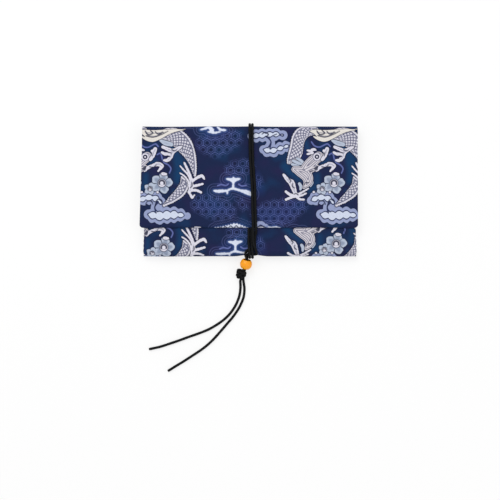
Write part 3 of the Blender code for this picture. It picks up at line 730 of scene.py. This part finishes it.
def printFields():
    u, v = stripPlaces()
    u = u / drawing["unit"] - drawing["origin"][0]
    v = v / drawing["unit"] - drawing["origin"][1]
    petals, hearts, folds = flowerStrokes()
    # strokes of each layer that both rows of motifs have, and those of the first row alone
    layers = {
        "cloudEdge": (clouds, lowClouds),
        "paleEdge": (plain(pale, (3.1, 0.3)) + plain(hearts), plain(lowPale)),
        "mistEdge": (plain(mists, (3.4, 0.3)), plain(lowMists, (2.7, 1.7))),
        "petalEdge": (plain(petals + fins), []),
        "maneEdge": (plain(manes), []),
        "creamEdge": (plain(cream), []),
        "inkEdge": (evenly(ink + folds), evenly(lowInk)),
        "threadEdge": (evenly([(line, 0.62) for line in threads]), []),
        "tealEdge": (plain(tealPatches), []),
        "glowEdge": (plain(glowPatches), []),
        "hexagonEdge": (plain(hexagonPatches), []),
        "bodyEdge": (plain(bodies), []),
    }
    rowPlaces = ((0, 0), drawing["halfDrop"])
    fields = {}
    for name, (both, firstOnly) in layers.items():
        drawn = {name: np.full(u.shape, drawing["reach"])}
        if name == "bodyEdge":
            drawn |= {"bodyAlong": np.zeros(u.shape), "bodyInward": np.zeros(u.shape)}
        for offset, strokes in zip(rowPlaces, (both + firstOnly, both)):
            for line, halves, wave in strokes:
                near, *found = strokeField(u, v, line, halves, wave, offset)
                closer = found[0] < drawn[name][near]
                for field, value in zip(drawn.values(), found):     # only bodies keep more than the first
                    field[near] = np.where(closer, value, field[near])
        fields |= drawn
    # an eye is drawn as rings round its own middle
    fields["eyeOut"] = np.full(u.shape, drawing["reach"])
    for offset in rowPlaces:
        x, y = (wrapped(value, middle + moved, repeat) for value, middle, moved, repeat
                in zip((u, v), drawing["eye"], offset, drawing["repeat"]))
        fields["eyeOut"] = np.minimum(fields["eyeOut"], np.hypot(x, y))
    unit = drawing["unit"]
    return {name: field * unit for name, field in fields.items()}, u * unit * mm, v * unit * mm


fields, uPlace, vPlace = printFields()
print("print drawn as", len(fields), "fields")


# The cloth's mesh: a fine printed side, a coarser lining side and the rims between them

def makeCloth():
    last = columnCount - 1
    points, where, faces, finish, loopRow, loopColumn = [], {}, [], [], [], []

    def onLining(i):
        # the rows that the lining side keeps, the same ones on both layers of the pocket
        sewn = rows[i]["sewn"]
        if sewn < 0:
            return i % cloth["liningRows"] == 0 or i >= rowCount - 1 - cloth["edgeTurns"]
        if sewn >= pocketCount:         # round the bottom fold
            return i - pocketCount in cloth["liningTurns"]
        return sewn % cloth["liningSewnRows"] == 0 or sewn == pocketCount - 1

    def vertex(i, j, layer):
        # both layers of the pocket share their points at the seams
        key = (layer, i, j)
        if rows[i]["sewn"] >= 0 and j in (0, last):
            key = (layer, "seam", rows[i]["sewn"], j)
        if key not in where:
            where[key] = len(points)
            points.append((faceSide if layer else liningSide)[i, j] * mm)
        return where[key]

    def face(corners, slot):
        indices = [vertex(*c) for c in corners]
        if len(set(indices)) < 3:
            return
        kept = [k for k in range(len(indices)) if indices[k] != indices[k - 1]]
        faces.append([indices[k] for k in kept])
        finish.append(slot)
        loopRow.extend(corners[k][0] for k in kept)
        loopColumn.extend(corners[k][1] for k in kept)

    coarseRows = [i for i in range(rowCount) if onLining(i)]
    coarseColumns = sorted({*range(0, columnCount, cloth["liningColumns"]), last})
    for i in range(rowCount - 1):
        for j in range(columnCount - 1):
            face([(i, j, 1), (i + 1, j, 1), (i + 1, j + 1, 1), (i, j + 1, 1)], 0)
    for i, nextRow in zip(coarseRows, coarseRows[1:]):
        for j, nextColumn in zip(coarseColumns, coarseColumns[1:]):
            face([(i, j, 0), (i, nextColumn, 0), (nextRow, nextColumn, 0), (nextRow, j, 0)], 1)
    # rims join the two sides along the mouth, the flap's edge and the flap's open sides
    for j, nextColumn in zip(coarseColumns, coarseColumns[1:]):
        run = list(range(j, nextColumn + 1))
        face([(0, c, 1) for c in run] + [(0, nextColumn, 0), (0, j, 0)], 0)
        face([(rowCount - 1, c, 1) for c in reversed(run)]
             + [(rowCount - 1, j, 0), (rowCount - 1, nextColumn, 0)], 0)
    free = [i for i in coarseRows if i >= 2 * pocketCount + cloth["bottomTurns"] - 1]
    for i, nextRow in zip(free, free[1:]):
        run = list(range(i, nextRow + 1))
        face([(r, 0, 1) for r in reversed(run)] + [(i, 0, 0), (nextRow, 0, 0)], 0)
        face([(r, last, 1) for r in run] + [(nextRow, last, 0), (i, last, 0)], 0)
    mesh = bpy.data.meshes.new("pouchCloth")
    mesh.from_pydata([tuple(p) for p in points], [], faces)
    mesh.polygons.foreach_set("material_index", np.array(finish, np.int32))
    mesh.shade_smooth()
    at = np.array(loopRow), np.array(loopColumn)
    strip = mesh.uv_layers.new(name="stripMap")
    strip.data.foreach_set("uv", np.stack([uPlace[at], vPlace[at]], axis=1).astype(np.float32).ravel())
    for name, field in fields.items():
        attribute = mesh.attributes.new(name, "FLOAT", "CORNER")
        attribute.data.foreach_set("value", field[at].astype(np.float32))
    return meshObject("pouchCloth", mesh)


pouchCloth = makeCloth()
shape = bmesh.new()
shape.from_mesh(pouchCloth.data)
print("cloth", len(pouchCloth.data.polygons), "faces, open edges",
      sum(1 for e in shape.edges if len(e.link_faces) != 2),
      "volume", round(shape.calc_volume(signed=True) * 1e6, 2), "cubic cm")
shape.free()


printInks = {
    "navy": "#1b2648", "violet": "#25244a", "seaBlue": "#183156", "royal": "#2a3d7c", "teal": "#163f68",
    "hexagonLine": "#5563a0", "thread": "#6b76b4", "cloudRim": "#939dc2", "cloudLine": "#2a3358",
    "cloudCore": "#cdd5e8", "scale": "#d2d0dc", "scaleLine": "#454a6b", "outline": "#141a35",
    "cream": "#e0dbd5", "hatch": "#5f617c", "white": "#d9d7e4", "petal": "#b3bdd0", "petalHeart": "#828da6",
    "ink": "#1d2340", "mane": "#d6d1d8", "halo": "#46609f", "mist": "#d8deef",
}
pattern = {
    "thread": 0.42,             # mm; the real threads are nearer 0.3 mm, too fine to show
    "hexagon": 5.5,
    "scale": 1.3,               # half the way from one scale to the next
    "ridge": 0.75,              # and from one bead of the ridge to the next
}


def stripPlace(tree):
    uv = addNode(tree, "ShaderNodeUVMap", uv_map="stripMap")
    return addNode(tree, "ShaderNodeVectorMath", {0: uv, 3: 1000.0}, operation="SCALE")


def plainWeave(tree, place):
    # warp and weft as two crossed waves
    spread = addNode(tree, "ShaderNodeVectorMath", {0: place, 3: 2 * math.pi / pattern["thread"]},
                     operation="SCALE")
    axes = addNode(tree, "ShaderNodeSeparateXYZ", {0: spread})
    warp = addNode(tree, "ShaderNodeMath", {0: axes}, operation="SINE")
    weft = addNode(tree, "ShaderNodeMath", {0: axes.outputs[1]}, operation="SINE")
    return addNode(tree, "ShaderNodeMath", {0: warp, 1: weft}, operation="MULTIPLY")


# Cotton sheeting, screen-printed on indigo: flat and matt, with the weave just to be seen.
def printedCotton():
    material, tree, shader = newMaterial("printedCotton")
    place = stripPlace(tree)
    drawn = {name: addNode(tree, "ShaderNodeAttribute", attribute_name=name).outputs["Fac"]
             for name in fields}

    def within(value, high, soft=0.12, most=1.0, low=-99.0):
        # most where a field or socket lies between low and high, in mm, and 0 outside
        value = drawn[value] if isinstance(value, str) else value
        up = addNode(tree, "ShaderNodeMapRange", {0: value, 1: low - soft, 2: low + soft, 3: 0.0, 4: most})
        down = addNode(tree, "ShaderNodeMapRange", {0: value, 1: high - soft, 2: high + soft, 3: 1.0, 4: 0.0})
        return addNode(tree, "ShaderNodeMath", {0: up, 1: down}, operation="MULTIPLY")

    def lay(tone, ink, *masks):
        # one ink over what is printed so far, where every mask lets it through
        share = masks[0]
        for mask in masks[1:]:
            share = addNode(tree, "ShaderNodeMath", {0: share, 1: mask}, operation="MULTIPLY")
        return addNode(tree, "ShaderNodeMix", {0: share, 6: tone, 7: colour(printInks[ink])},
                       data_type="RGBA").outputs[2]

    # the indigo ground drifts between navy, violet and sea blue
    drift = addNode(tree, "ShaderNodeTexNoise", {"Vector": place, "Scale": 0.055, "Detail": 1.5})
    tone = colour(printInks["navy"])
    for ink, start, end, most in (("violet", 0.5, 0.62, 0.675), ("seaBlue", 0.47, 0.36, 0.9)):
        share = addNode(tree, "ShaderNodeMapRange", {0: drift, 1: start, 2: end, 3: 0.0, 4: most})
        tone = lay(tone, ink, share)
    tone = lay(tone, "royal", within("glowEdge", -1.0, 2.4, 0.28))
    tone = lay(tone, "teal", within("tealEdge", -0.4, 1.7, 0.75))

    # tortoiseshell hexagons: the nearer of two staggered lattices gives each cell's middle
    size, tall = pattern["hexagon"], pattern["hexagon"] * math.sqrt(3)
    far = (size * 90, tall * 90, 0.0)       # keeps the lattice's own numbers above 0
    cells = []
    for start in (far, (far[0] - size / 2, far[1] - tall / 2, 0.0)):
        moved = addNode(tree, "ShaderNodeVectorMath", {0: place, 1: start}, operation="ADD")
        turned = addNode(tree, "ShaderNodeVectorMath", {0: moved, 1: (size, tall, 1.0)}, operation="MODULO")
        centred = addNode(tree, "ShaderNodeVectorMath", {0: turned, 1: (size / 2, tall / 2, 0.0)},
                          operation="SUBTRACT")
        reach = addNode(tree, "ShaderNodeVectorMath", {0: centred}, operation="LENGTH").outputs["Value"]
        cells.append((centred, reach))
    nearer = addNode(tree, "ShaderNodeMath", {0: cells[0][1], 1: cells[1][1]}, operation="LESS_THAN")
    cell = addNode(tree, "ShaderNodeMix", {0: nearer, 4: cells[1][0], 5: cells[0][0]}, data_type="VECTOR")
    corner = addNode(tree, "ShaderNodeVectorMath", {0: cell.outputs[1]}, operation="ABSOLUTE")
    slant = addNode(tree, "ShaderNodeVectorMath", {0: corner, 1: (0.5, math.sqrt(3) / 2, 0)},
                    operation="DOT_PRODUCT").outputs["Value"]
    straight = addNode(tree, "ShaderNodeSeparateXYZ", {0: corner}).outputs[0]
    out = addNode(tree, "ShaderNodeMath", {0: slant, 1: straight}, operation="MAXIMUM")
    walls = within(out, 99.0, low=size * 0.5 - 0.24)
    inner = within(out, size * 0.28 + 0.2, 0.14, 0.75, low=size * 0.28 - 0.2)
    lines = addNode(tree, "ShaderNodeMath", {0: walls, 1: inner}, operation="MAXIMUM")
    broken = addNode(tree, "ShaderNodeTexNoise", {"Vector": place, "Scale": 0.5, "Detail": 2.0})
    fading = addNode(tree, "ShaderNodeMapRange", {0: broken, 1: 0.32, 2: 0.55, 3: 0.35, 4: 1.0})
    patch = within("hexagonEdge", -0.6, 1.6)
    tone = lay(tone, "outline", within(out, size * 0.18, 0.25, 0.35), patch)
    tone = lay(tone, "hexagonLine", lines, fading, patch, 0.9)
    tone = lay(tone, "thread", within("threadEdge", 0.05, 0.15, 0.8))

    # clouds have a pale rim, a dark line and a white core; far ones have a halo and two thin rings
    tone = lay(tone, "outline", within("cloudEdge", 0.45, 0.2, 0.8))
    tone = lay(tone, "cloudRim", within("cloudEdge", 0.0))
    tone = lay(tone, "cloudLine", within("cloudEdge", -2.3))
    tone = lay(tone, "cloudCore", within("cloudEdge", -3.1))
    tone = lay(tone, "halo", within("mistEdge", 0.8, 0.9, 0.65))
    for ring in (2.3, 4.0):
        tone = lay(tone, "thread", within("mistEdge", ring + 0.3, 0.25, 0.4, low=ring))
    tone = lay(tone, "mist", within("mistEdge", -0.05, 0.28))

    # scaled bodies: overlapping scales, and a beaded ridge along the outer edge
    along, inward = drawn["bodyAlong"], drawn["bodyInward"]
    scales = []
    for operation in ("ADD", "SUBTRACT"):
        slanted = addNode(tree, "ShaderNodeMath", {0: along, 1: inward}, operation=operation)
        folded = addNode(tree, "ShaderNodeMath", {0: slanted, 1: pattern["scale"]}, operation="PINGPONG")
        scales.append(within(folded, 0.4, 0.16))
    mesh = addNode(tree, "ShaderNodeMath", {0: scales[0], 1: scales[1]}, operation="MAXIMUM")
    beads = addNode(tree, "ShaderNodeMath", {0: along, 1: pattern["ridge"]}, operation="PINGPONG")
    lobes = addNode(tree, "ShaderNodeMath", {0: beads, 1: 0.55, 2: drawn["bodyEdge"]},
                    operation="MULTIPLY_ADD")
    tone = lay(tone, "outline", within("bodyEdge", 0.6, 0.2, 0.9))
    tone = lay(tone, "scale", within(lobes, 0.15))
    tone = lay(tone, "scaleLine", mesh, within(inward, 99.0, 0.1, 0.92, low=1.9), within("bodyEdge", -0.3))
    tone = lay(tone, "scaleLine", within(inward, 1.85, low=1.3), within("bodyEdge", -0.2))

    # petals and fins, the ribbed cream ribbon and mane, then claws, ink lines and eyes
    tone = lay(tone, "outline", within("petalEdge", 0.4, 0.2, 0.8))
    tone = lay(tone, "petal", within("petalEdge", 0.0))
    tone = lay(tone, "petalHeart", within("petalEdge", -1.5, 0.5, 0.8))
    for name, ground, gap, start in (("creamEdge", "cream", 0.7, -1.3), ("maneEdge", "mane", 0.62, -0.4)):
        tone = lay(tone, "outline", within(name, 0.4, 0.2, 0.9))
        tone = lay(tone, ground, within(name, 0.0))
        ribs = addNode(tree, "ShaderNodeMath", {0: drawn[name], 1: gap}, operation="PINGPONG")
        tone = lay(tone, "hatch", within(ribs, 99.0, 0.14, 0.9, low=gap - 0.24), within(name, start))
    tone = lay(tone, "outline", within("paleEdge", 0.42, 0.2, 0.9))
    tone = lay(tone, "white", within("paleEdge", 0.0))
    tone = lay(tone, "hatch", within("paleEdge", -0.95, 0.15, 0.5, low=-1.35))
    tone = lay(tone, "ink", within("inkEdge", 0.05, 0.14, 0.9))
    for ink, radius in (("hatch", 3.0), ("white", 2.6), ("ink", 1.65), ("white", 0.7)):
        tone = lay(tone, ink, within("eyeOut", radius))

    # plain weave: the colour is a little darker where threads lie low, as painted shade, and ink takes
    # unevenly on the threads
    threadsUp = plainWeave(tree, place)
    slub = addNode(tree, "ShaderNodeTexNoise", {"Vector": place, "Scale": 1.6, "Detail": 3.0})
    uneven = addNode(tree, "ShaderNodeMapRange", {0: slub, 1: 0.3, 2: 0.7, 3: 0.9, 4: 1.08})
    # painted shade of the weave, five parts in a hundred, times the uneven ink
    grain = addNode(tree, "ShaderNodeMath", {0: threadsUp, 1: 0.05, 2: uneven}, operation="MULTIPLY_ADD")
    inked = addNode(tree, "ShaderNodeVectorMath", {0: tone, 3: grain}, operation="SCALE")
    bump = addNode(tree, "ShaderNodeBump", {"Height": threadsUp, "Strength": 0.25, "Distance": 0.00008})
    fill(tree, shader, {"Base Color": inked, "Normal": bump, "Roughness": 0.9, "Specular IOR Level": 0.1})
    return material


# Plain-dyed cotton lining: matt dark navy, with its threads a little plainer than on the face, and painted
# shade where the threads lie low.
def liningCotton():
    material, tree, shader = newMaterial("liningCotton")
    place = stripPlace(tree)
    threadsUp = plainWeave(tree, place)
    blotch = addNode(tree, "ShaderNodeTexNoise", {"Vector": place, "Scale": 0.16, "Detail": 4.0})
    # the colour is darker where threads lie low: painted shade, with random blotches of tone
    share = addNode(tree, "ShaderNodeMath", {0: threadsUp, 1: 0.25, 2: blotch}, operation="MULTIPLY_ADD")
    tone = addNode(tree, "ShaderNodeMix", {0: share, 6: colour("#12152f"), 7: colour("#23284e")},
                   data_type="RGBA")
    bump = addNode(tree, "ShaderNodeBump", {"Height": threadsUp, "Strength": 0.4, "Distance": 0.0001})
    fill(tree, shader, {"Base Color": tone.outputs[2], "Normal": bump,
                        "Roughness": 0.9, "Specular IOR Level": 0.1})
    return material


pouchCloth.data.materials.append(printedCotton())
pouchCloth.data.materials.append(liningCotton())
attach(pouchCloth, "pouch")
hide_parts("pouch_cloth")


# Side seams: a line of stitches down each side, by Geometry Nodes

stitching = {"length": 2.3, "gap": 1.1, "thread": 0.3, "guideStep": 1.0}      # mm


# Polyester sewing thread, dyed to the cloth: smoother than the cotton round it.
def sewingThread():
    material, tree, shader = newMaterial("sewingThread")
    place = addNode(tree, "ShaderNodeTexCoord")
    # lighter and darker bands along the twist: painted shade between the plies
    twist = addNode(tree, "ShaderNodeTexWave", {"Vector": place.outputs["Object"], "Scale": 900.0,
                                                "Distortion": 1.5}, bands_direction="DIAGONAL")
    tone = addNode(tree, "ShaderNodeMix", {0: twist.outputs["Fac"], 6: colour("#161a3c"),
                                           7: colour("#2b3066")}, data_type="RGBA")
    fill(tree, shader, {"Base Color": tone.outputs[2], "Roughness": 0.55})
    return material


def stitchTree(finish):
    tree = bpy.data.node_groups.new("seamStitches", "GeometryNodeTree")
    tree.interface.new_socket("Geometry", in_out="INPUT", socket_type="NodeSocketGeometry")
    for name in ("Stitch Length", "Stitch Gap", "Thread Width"):
        tree.interface.new_socket(name, in_out="INPUT", socket_type="NodeSocketFloat")
    tree.interface.new_socket("Geometry", in_out="OUTPUT", socket_type="NodeSocketGeometry")
    start = addNode(tree, "NodeGroupInput")
    curve = addNode(tree, "GeometryNodeMeshToCurve", {"Mesh": start.outputs["Geometry"]})
    length, width = start.outputs["Stitch Length"], start.outputs["Thread Width"]
    pace = addNode(tree, "ShaderNodeMath", {0: length, 1: start.outputs["Stitch Gap"]}, operation="ADD")
    dots = addNode(tree, "GeometryNodeCurveToPoints", {"Curve": curve, "Length": pace}, mode="LENGTH")
    thread = addNode(tree, "GeometryNodeMeshUVSphere", {"Segments": 8, "Rings": 6, "Radius": 0.5})
    size = addNode(tree, "ShaderNodeCombineXYZ", {0: width, 1: width, 2: length})
    turned = addNode(tree, "FunctionNodeAlignRotationToVector", {"Vector": dots.outputs["Tangent"]}, axis="Z")
    placed = addNode(tree, "GeometryNodeInstanceOnPoints", {
        "Points": dots.outputs["Points"], "Instance": thread.outputs["Mesh"], "Rotation": turned,
        "Scale": size})
    real = addNode(tree, "GeometryNodeRealizeInstances", {0: placed})
    dressed = addNode(tree, "GeometryNodeSetMaterial", {"Geometry": real, "Material": finish})
    addNode(tree, "NodeGroupOutput", {0: dressed})
    return tree


def makeStitches():
    mesh = bpy.data.meshes.new("seamLines")
    points, edges = [], []
    for j in (0, columnCount - 1):
        # from the mouth to the middle of the bottom fold
        line = evenPoints(faceSide[:pocketCount + cloth["bottomTurns"] // 2, j], stitching["guideStep"])
        edges += [(len(points) + k, len(points) + k + 1) for k in range(len(line) - 1)]
        points += [tuple(p * mm) for p in line]
    mesh.from_pydata(points, edges, [])
    guide = meshObject("seamLines", mesh)
    modifier = guide.modifiers.new("stitches", "NODES")
    modifier.node_group = stitchTree(sewingThread())
    sizes = {"Stitch Length": stitching["length"], "Stitch Gap": stitching["gap"],
             "Thread Width": stitching["thread"]}
    for item in modifier.node_group.interface.items_tree:
        if item.in_out == "INPUT" and item.name in sizes:
            modifier[item.identifier] = sizes[item.name] * mm
    bpy.context.view_layer.update()
    ready = guide.evaluated_get(bpy.context.evaluated_depsgraph_get())
    stitches = meshObject("seamStitches", bpy.data.meshes.new_from_object(ready))
    stitches.data.shade_smooth()
    bpy.data.objects.remove(guide)
    return stitches


seamStitches = makeStitches()
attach(seamStitches, "pouch")
print("seam stitches", len(seamStitches.data.polygons), "faces")


# The bead, turned about its own hole

bead = {
    "diameter": 8.3, "hole": 4.65, "mouthRound": 0.35,      # mm
    "centre": (-1.9, -50.4, 4.3),
    "lean": 14.0, "dip": 18.0,          # degrees
    "around": 72, "profileSteps": 40, "mouthSteps": 5, "holeSteps": 8,
}


# Turned hardwood under clear orange lacquer: faint grain, high smooth gloss.
def lacqueredWood():
    material, tree, shader = newMaterial("lacqueredWood")
    place = addNode(tree, "ShaderNodeTexCoord")
    grain = addNode(tree, "ShaderNodeTexNoise", {"Vector": place.outputs["Object"], "Scale": 420.0,
                                                 "Detail": 3.0})
    tone = addNode(tree, "ShaderNodeMix", {0: grain, 6: colour("#f79200"), 7: colour("#ffb00c")},
                   data_type="RGBA")
    fill(tree, shader, {"Base Color": tone.outputs[2], "Roughness": 0.38, "Specular IOR Level": 0.3,
                        "Coat Weight": 0.22, "Coat Roughness": 0.12})
    return material


def makeBead():
    radius, hole, soft = bead["diameter"] / 2, bead["hole"] / 2, bead["mouthRound"]
    top = math.acos((hole + soft) / radius)
    profile = [(radius * math.cos(a), radius * math.sin(a)) for a in steps(top, -top, bead["profileSteps"])]
    endZ = profile[-1][1]
    low = endZ + soft
    quarter = steps(0, math.pi / 2, bead["mouthSteps"])
    profile += [(hole + soft - soft * math.sin(a), endZ + soft * (1 - math.cos(a))) for a in quarter[1:]]
    profile += [(hole, z) for z in steps(low, -low, bead["holeSteps"])[1:]]
    profile += [(hole + soft - soft * math.cos(a), -low + soft * math.sin(a)) for a in quarter[1:-1]]
    lean, dip = math.radians(bead["lean"]), math.radians(bead["dip"])
    axis = Vector((-math.sin(lean) * math.cos(dip), -math.cos(lean) * math.cos(dip), -math.sin(dip)))
    turn = Vector((0, 0, 1)).rotation_difference(axis)
    centre = Vector(bead["centre"])
    count, n = bead["around"], len(profile)
    points, faces = [], []
    for k in range(count):
        angle = 2 * math.pi * k / count
        after = (k + 1) % count
        for i, (x, z) in enumerate(profile):
            points.append((centre + turn @ Vector((x * math.cos(angle), x * math.sin(angle), z))) * mm)
            nextI = (i + 1) % n
            faces.append((k * n + i, k * n + nextI, after * n + nextI, after * n + i))
    mesh = bpy.data.meshes.new("woodBead")
    mesh.from_pydata([tuple(p) for p in points], [], faces)
    solid = bmesh.new()
    solid.from_mesh(mesh)
    bmesh.ops.recalc_face_normals(solid, faces=solid.faces)
    solid.to_mesh(mesh)
    solid.free()
    mesh.shade_smooth()
    mesh.materials.append(lacqueredWood())
    return meshObject("woodBead", mesh)


woodBead = makeBead()
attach(woodBead, "bead")
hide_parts("bead")
print("bead turned")


# Light, floor and white background

light = {
    "world": 0.72,
    "keyLight": (4.0, 0.55, (-0.25, 0.55, 0.85)),       # watts, size and place in metres
    "fillLight": (1.2, 0.7, (0.7, -0.5, 0.7)),
    "aim": (0, -0.03, 0),
    "floorWhite": 0.75,         # how far plain white stands in for the lit floor and its shadows
}


def makeLight():
    scene = bpy.context.scene
    scene.view_settings.view_transform = "Standard"
    scene.world = bpy.data.worlds.new("studio")
    scene.world.use_nodes = True
    tree = scene.world.node_tree
    rays = addNode(tree, "ShaderNodeLightPath")
    seen = rays.outputs["Is Camera Ray"]
    for other in ("Is Glossy Ray", "Is Transmission Ray"):
        seen = addNode(tree, "ShaderNodeMath", {0: seen, 1: rays.outputs[other]}, operation="MAXIMUM")
    level = addNode(tree, "ShaderNodeMapRange", {0: seen, 1: 0.0, 2: 1.0, 3: light["world"], 4: 1.0})
    fill(tree, tree.nodes["Background"], {"Color": (1, 1, 1, 1), "Strength": level})
    for name in ("keyLight", "fillLight"):
        data = bpy.data.lights.new(name, "AREA")
        data.energy, data.size, place = light[name]
        lamp = bpy.data.objects.new(name, data)
        lamp.location = place
        lamp.rotation_euler = (Vector(light["aim"]) - Vector(place)).to_track_quat("-Z", "Y").to_euler()
        scene.collection.objects.link(lamp)


def makeFloor():
    mesh = bpy.data.meshes.new("floor")
    mesh.from_pydata([(-2, -2, 0), (2, -2, 0), (2, 2, 0), (-2, 2, 0)], [], [(0, 1, 2, 3)])
    floor = meshObject("floor", mesh)
    material, tree, shader = newMaterial("paleBoard")
    fill(tree, shader, {"Base Color": colour("#fbfbfb"), "Roughness": 0.9})
    rays = addNode(tree, "ShaderNodeLightPath")
    white = addNode(tree, "ShaderNodeEmission", {"Color": (1, 1, 1, 1), "Strength": 1.0})
    share = addNode(tree, "ShaderNodeMath", {0: rays.outputs["Is Camera Ray"], 1: light["floorWhite"]},
                    operation="MULTIPLY")
    mixed = addNode(tree, "ShaderNodeMixShader", {0: share, 1: shader, 2: white})
    output = next(n for n in tree.nodes if n.type == "OUTPUT_MATERIAL")
    fill(tree, output, {"Surface": mixed})
    mesh.materials.append(material)


makeLight()
makeFloor()
print("light and floor ready")
